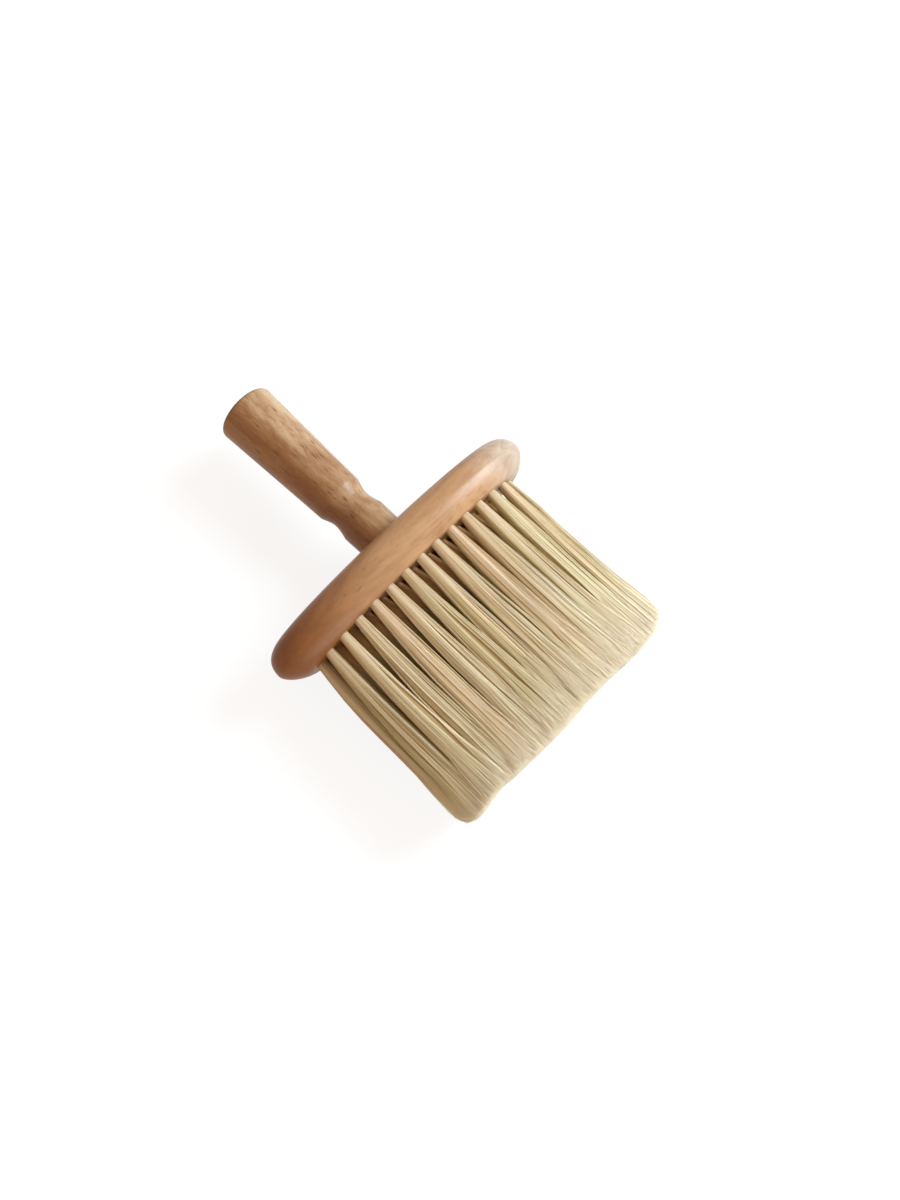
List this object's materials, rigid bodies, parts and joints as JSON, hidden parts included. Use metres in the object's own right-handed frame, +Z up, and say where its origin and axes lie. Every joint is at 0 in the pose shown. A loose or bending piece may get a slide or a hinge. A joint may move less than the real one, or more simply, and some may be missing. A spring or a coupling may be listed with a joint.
{
  "type": "cleaning brush",
  "caption": "Soft dusting and clothes brush: an oval wooden head set crosswise on a short turned handle, with long soft bristle in round tufts.",
  "frame": {"origin": "the middle of the brush's box in plan, on the surface that it lies on", "axes": "+Y along the handle, from the bristle tips to the butt; +X along the head; +Z up from the surface that the brush lies on"},
  "size_m": [0.16, 0.2136, 0.056],
  "materials": {
    "head_beech": "satin lacquer",
    "handle_beech": "satin lacquer",
    "bristle_straw": "fine soft fibre"
  },
  "bodies": {
    "root": {"head": "head_beech", "handle": "handle_beech", "tuft_outer_01": "bristle_straw", "tuft_outer_02": "bristle_straw", "tuft_outer_03": "bristle_straw", "tuft_outer_04": "bristle_straw", "tuft_outer_05": "bristle_straw", "tuft_outer_06": "bristle_straw", "tuft_outer_07": "bristle_straw", "tuft_outer_08": "bristle_straw", "tuft_outer_09": "bristle_straw", "tuft_outer_10": "bristle_straw", "tuft_outer_11": "bristle_straw", "tuft_outer_12": "bristle_straw", "tuft_outer_13": "bristle_straw", "tuft_outer_14": "bristle_straw", "tuft_outer_15": "bristle_straw", "tuft_outer_16": "bristle_straw", "tuft_outer_17": "bristle_straw", "tuft_outer_18": "bristle_straw", "tuft_outer_19": "bristle_straw", "tuft_outer_20": "bristle_straw", "tuft_outer_21": "bristle_straw", "tuft_outer_22": "bristle_straw", "tuft_outer_23": "bristle_straw", "tuft_outer_24": "bristle_straw", "tuft_outer_25": "bristle_straw", "tuft_outer_26": "bristle_straw", "tuft_outer_27": "bristle_straw", "tuft_outer_28": "bristle_straw", "tuft_inner_01": "bristle_straw", "tuft_inner_02": "bristle_straw", "tuft_inner_03": "bristle_straw", "tuft_inner_04": "bristle_straw", "tuft_inner_05": "bristle_straw", "tuft_inner_06": "bristle_straw", "tuft_inner_07": "bristle_straw", "tuft_inner_08": "bristle_straw", "tuft_inner_09": "bristle_straw", "tuft_inner_10": "bristle_straw", "tuft_inner_11": "bristle_straw", "tuft_inner_12": "bristle_straw", "tuft_inner_13": "bristle_straw", "tuft_inner_14": "bristle_straw", "tuft_inner_15": "bristle_straw", "tuft_inner_16": "bristle_straw", "tuft_inner_17": "bristle_straw", "tuft_inner_18": "bristle_straw", "tuft_inner_19": "bristle_straw", "tuft_inner_20": "bristle_straw", "tuft_inner_21": "bristle_straw", "tuft_inner_22": "bristle_straw", "tuft_centre_01": "bristle_straw", "tuft_centre_02": "bristle_straw", "tuft_centre_03": "bristle_straw", "tuft_centre_04": "bristle_straw", "tuft_centre_05": "bristle_straw", "tuft_centre_06": "bristle_straw", "tuft_centre_07": "bristle_straw"}
  },
  "joints": []
}
